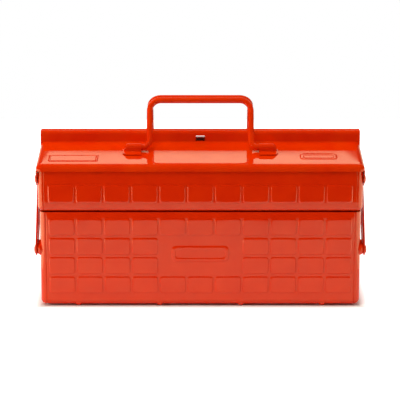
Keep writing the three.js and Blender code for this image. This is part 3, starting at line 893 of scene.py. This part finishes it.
# The first two colours are the enamel's own tone, which varies at random. The third is a lighter copy of
# it: painted light for the lid, clips and handle on top. The last is a darker copy: painted shade for the
# arms and rivets at the ends.
DEEP = (0.80, 0.022, 0.0, 1.0)
LIGHT = (0.84, 0.027, 0.0, 1.0)
LIT_BRIGHT = (0.88, 0.040, 0.0, 1.0)
SHADED_DULL = (0.72, 0.020, 0.0, 1.0)
LOOKS = {
    "box_enamel": Enamel(DEEP, LIGHT, 0.06, 4e-6, 4.0e-4),
    "tray_enamel": Enamel(DEEP, LIGHT, 0.06, 4e-6, 4.0e-4),
    "lid_enamel": Enamel(LIGHT, LIT_BRIGHT, 0.04, 1e-6, 4.0e-5),
    "clip_enamel": Enamel(LIGHT, LIT_BRIGHT, 0.08, 4e-6, 1.0e-5),
    "arm_enamel": Enamel(SHADED_DULL, DEEP, 0.24, 1e-5, 2.0e-5),
    "rivet_enamel": Enamel(SHADED_DULL, DEEP, 0.28, 1e-5, 1.0e-5),
    "handle_enamel": Enamel(LIGHT, LIT_BRIGHT, 0.08, 3e-6, 1.0e-5),
}
materials = {name: enamel_material(name, look) for name, look in LOOKS.items()}

# ---- The pieces --------------------------------------------------------------------------------


def build_lower_box():
    shell = trough_shell(BOX, box_presses(True), box_presses(False), True)
    add_piece("box_shell", shell, "lower_box", "box_enamel")
    for side, side_name in ((-1, "left"), (1, "right")):
        add_piece(f"box_end_{side_name}", trough_end(BOX, side), "lower_box", "box_enamel")
        for y in BOX.pivot_ys:
            half = "front" if y < 0 else "rear"
            link = "outer" if abs(y) > abs(BOX.pivot_ys[1]) else "inner"
            shape = rivet(y, BOX.pivot_z, RIVET_HEAD_X, BOSS_TOP_X - TUCK, side)
            add_piece(f"{half}_{link}_lower_rivet_{side_name}", shape, "lower_box", "rivet_enamel")


def build_tray(half, turned, side_names):
    body = f"{half}_tray"
    shell = trough_shell(TRAY, tray_presses(), [], False)
    add_piece(f"{half}_tray_shell", shell, body, "tray_enamel", turned)
    add_piece(f"{half}_tray_divider", divider(), body, "tray_enamel", turned)
    lid_rivet_x = LID_HALF_LENGTH + GAP
    for side, name in side_names:
        add_piece(f"{half}_tray_end_{name}", trough_end(TRAY, side), body, "tray_enamel", turned)
        shape = rivet(*LID_PIVOT, lid_rivet_x, TRAY.half_length - TUCK, side)
        add_piece(f"{half}_lid_rivet_{name}", shape, body, "rivet_enamel", turned)


def build_arms(half, turned, side_names):
    for index, link in enumerate(("outer", "inner")):
        for side, name in side_names:
            shape = arm(index, side)
            add_piece(f"{half}_{link}_arm_{name}", shape, f"{half}_{link}_arms", "arm_enamel", turned)
            head = rivet(TRAY.pivot_ys[index], TRAY.pivot_z, RIVET_HEAD_X, BOSS_TOP_X - TUCK, side)
            add_piece(f"{half}_{link}_upper_rivet_{name}", head, f"{half}_tray", "rivet_enamel", turned)


def build_lid(half, turned, side_names):
    body = f"{half}_lid"
    add_piece(body, lid(not turned), body, "lid_enamel", turned)
    for side, name in side_names:
        add_piece(f"{half}_clip_{name}", clip(side), body, "clip_enamel", turned)
    add_piece(f"{half}_handle", handle(), f"{half}_bail", "handle_enamel", turned)


def build_half(half, turned):
    side_names = ((-1, "right"), (1, "left")) if turned else ((-1, "left"), (1, "right"))
    build_tray(half, turned, side_names)
    build_arms(half, turned, side_names)
    build_lid(half, turned, side_names)


build_lower_box()
build_half("front", False)
build_half("rear", True)

# ---- Floor, light and camera ---------------------------------------------------------------------

FLOOR_X = 3.0
FLOOR_FRONT_Y = -0.483
FLOOR_BACK_Y = 1.0
# The white paper has a painted glow, which fades out near and under the box as painted shade there. It
# lights the box less than it looks.
GLOW_SEEN = 0.95
GLOW_MIRRORED = 0.5
GLOW_FELT = 0.25
GLOW_SHADE_WIDTH = 0.012
PAPER_COLOR = (0.86, 0.86, 0.86, 1.0)
PAPER_GRAIN_SCALE = 900.0
PAPER_GRAIN = 2e-5


def floor_glow_and_painted_shade(nodes, place):
    """A painted glow on the paper: none in the gap under the box, full a little way out from it, so its
    ramp paints shade around the box's foot.
    """
    split = nodes.add("ShaderNodeSeparateXYZ")
    nodes.join(place, "Object", split, "Vector")
    outside = nodes.add("ShaderNodeMath")
    outside.operation = "MAXIMUM"
    reaches = (("X", BOX.half_length * MM), ("Y", BOX.y_max * MM))
    for socket, (axis, reach) in enumerate(reaches):
        size = nodes.add("ShaderNodeMath")
        size.operation = "ABSOLUTE"
        nodes.join(split, axis, size, 0)
        past = nodes.add("ShaderNodeMath")
        past.operation = "SUBTRACT"
        past.inputs[1].default_value = reach
        nodes.join(size, "Value", past, 0)
        nodes.join(past, "Value", outside, socket)
    path = nodes.add("ShaderNodeLightPath")
    unseen = nodes.add("ShaderNodeMapRange", To_Min=GLOW_MIRRORED, To_Max=GLOW_FELT)
    nodes.join(path, "Is Diffuse Ray", unseen, "Value")
    full = nodes.add("ShaderNodeMapRange", To_Max=GLOW_SEEN)
    nodes.join(path, "Is Camera Ray", full, "Value")
    nodes.join(unseen, "Result", full, "To Min")
    # Painted shade: the glow ramps from none at the box's footprint to full a short way outside it.
    glow = nodes.add("ShaderNodeMapRange", From_Min=0.0, From_Max=GLOW_SHADE_WIDTH, To_Min=0.0)
    nodes.join(outside, "Value", glow, "Value")
    nodes.join(full, "Result", glow, "To Max")
    return glow


def add_floor():
    xs = (-FLOOR_X, FLOOR_X)
    vertices, faces = grid([[(x, y, 0) for x in xs] for y in (FLOOR_FRONT_Y, FLOOR_BACK_Y)])
    mesh = bpy.data.meshes.new("floor")
    mesh.from_pydata(vertices, [], faces)
    material = bpy.data.materials.new("floor_paper")
    material.use_nodes = True
    nodes = Nodes(material.node_tree)
    place = nodes.add("ShaderNodeTexCoord")
    shader = nodes.add("ShaderNodeBsdfPrincipled", Roughness=0.9)
    shader.inputs["Base Color"].default_value = PAPER_COLOR
    shader.inputs["Emission Color"].default_value = WHITE_COLOR
    shader.inputs["Specular IOR Level"].default_value = 0.1
    nodes.join(floor_glow_and_painted_shade(nodes, place), "Result", shader, "Emission Strength")
    grain = nodes.bump(nodes.noise(place, PAPER_GRAIN_SCALE), PAPER_GRAIN)
    nodes.join(grain, "Normal", shader, "Normal")
    output = nodes.add("ShaderNodeOutputMaterial")
    nodes.join(shader, "BSDF", output, "Surface")
    mesh.materials.append(material)
    floor = bpy.data.objects.new("floor", mesh)
    bpy.context.scene.collection.objects.link(floor)


SOFTBOX_COLORS = {"fill": (1.0, 0.975, 0.86), "gloss": (1.0, 0.95, 0.64)}


def add_softbox(name, place, aim, size, radiance, role):
    """A rectangular light that faces `aim`: a `fill` isn't reflected, a `gloss` is only reflected."""
    light = bpy.data.lights.new(name, "AREA")
    light.shape = "RECTANGLE"
    light.size, light.size_y = size
    light.color = SOFTBOX_COLORS[role]
    light.energy = radiance * math.pi * size[0] * size[1]
    holder = bpy.data.objects.new(name, light)
    holder.location = place
    facing = Vector(aim) - Vector(place)
    holder.rotation_euler = facing.to_track_quat("-Z", "Y").to_euler()
    holder.visible_camera = False
    holder.visible_glossy = role == "gloss"
    holder.visible_diffuse = role == "fill"
    bpy.context.scene.collection.objects.link(holder)


def add_overhead_lights():
    """A wide soft light above, and behind it the strip that the lids mirror."""
    add_softbox("overhead", (0.0, 0.4, 1.4), (0.0, 0.4, 0.0), (2.2, 1.6), 1.15, "fill")
    add_softbox("overhead_strip", (0.0, 1.88, 1.4), (0.0, 1.88, 0.0), (2.6, 0.7), 1.62, "gloss")


SIDE_AIM = (0.0, -0.1, 0.1)
STRIP_RADIANCE = 1.5
CARD_X = 0.32
CARD_Y = -0.13
CARD_SIZE = (0.46, 0.16)


def add_side_lights(name, place, size, fill):
    """One side's softbox: the light that it gives, and the glow that the enamel mirrors."""
    add_softbox(f"{name}_fill", place, SIDE_AIM, size, fill, "fill")
    add_softbox(f"{name}_strip", place, SIDE_AIM, size, STRIP_RADIANCE, "gloss")


def add_side_card(name, side, radiance):
    """A low card standing beside the box, for its corners to mirror."""
    z = CARD_SIZE[1] / 2
    add_softbox(f"{name}_card", (side * CARD_X, CARD_Y, z), (0.0, CARD_Y, z), CARD_SIZE, radiance, "gloss")


def add_front_and_back_lights():
    """A high light in front of the box, and a low bright card far behind it."""
    add_softbox("front_fill", (-0.4, -1.1, 2.6), (0.0, 0.0, 0.1), (1.4, 1.0), 6.0, "fill")
    add_softbox("backdrop", (0.0, 3.0, 0.35), (0.0, 0.0, 0.35), (5.0, 0.7), 1.0, "gloss")


WORLD_HORIZON = (-0.02, 0.05)
WORLD_FELT = (0.02, 0.1)
WORLD_MIRRORED = 0.04


def add_world():
    """White to the camera, almost dark in reflections, and a soft fill for everything else."""
    world = bpy.data.worlds.new("studio")
    bpy.context.scene.world = world
    world.use_nodes = True
    nodes = Nodes(world.node_tree)
    place = nodes.add("ShaderNodeTexCoord")
    split = nodes.add("ShaderNodeSeparateXYZ")
    nodes.join(place, "Generated", split, "Vector")
    low, high = WORLD_HORIZON
    dim, bright = WORLD_FELT
    height = nodes.add("ShaderNodeMapRange", From_Min=low, From_Max=high, To_Min=dim, To_Max=bright)
    nodes.join(split, "Z", height, "Value")
    path = nodes.add("ShaderNodeLightPath")
    seen = nodes.add("ShaderNodeBackground", Color=WHITE_COLOR, Strength=1.0)
    mirrored = nodes.add("ShaderNodeBackground", Color=WHITE_COLOR, Strength=WORLD_MIRRORED)
    felt = nodes.add("ShaderNodeBackground", Color=WHITE_COLOR)
    nodes.join(height, "Result", felt, "Strength")
    unseen = nodes.add("ShaderNodeMixShader")
    nodes.join(path, "Is Glossy Ray", unseen, 0)
    nodes.join(felt, "Background", unseen, 1)
    nodes.join(mirrored, "Background", unseen, 2)
    choice = nodes.add("ShaderNodeMixShader")
    nodes.join(path, "Is Camera Ray", choice, 0)
    nodes.join(unseen, "Shader", choice, 1)
    nodes.join(seen, "Background", choice, 2)
    output = nodes.add("ShaderNodeOutputWorld")
    nodes.join(choice, "Shader", output, "Surface")


CAMERA_AIM = Vector((-0.0003, -0.079, 0.118))
CAMERA_DISTANCE = 1.975
CAMERA_ELEVATION = math.radians(13.2)


def add_camera():
    camera = bpy.data.cameras.new("camera")
    camera.lens = 167.35
    camera.sensor_width = 36.0
    holder = bpy.data.objects.new("camera", camera)
    back = Vector((0.0, -math.cos(CAMERA_ELEVATION), math.sin(CAMERA_ELEVATION)))
    holder.location = CAMERA_AIM + CAMERA_DISTANCE * back
    holder.rotation_euler = (math.pi / 2 - CAMERA_ELEVATION, 0.0, 0.0)
    bpy.context.scene.collection.objects.link(holder)
    bpy.context.scene.camera = holder


add_floor()
add_world()
add_overhead_lights()
add_side_lights("left", place=(-1.6, -0.5, 0.6), size=(1.3, 0.9), fill=4.2)
add_side_card("left", -1, 3.1)
add_side_card("right", 1, 1.9)
add_side_lights("right", place=(1.6, -0.4, 0.6), size=(1.2, 1.0), fill=1.5)
add_front_and_back_lights()
add_camera()
bpy.context.scene.view_settings.view_transform = "Standard"
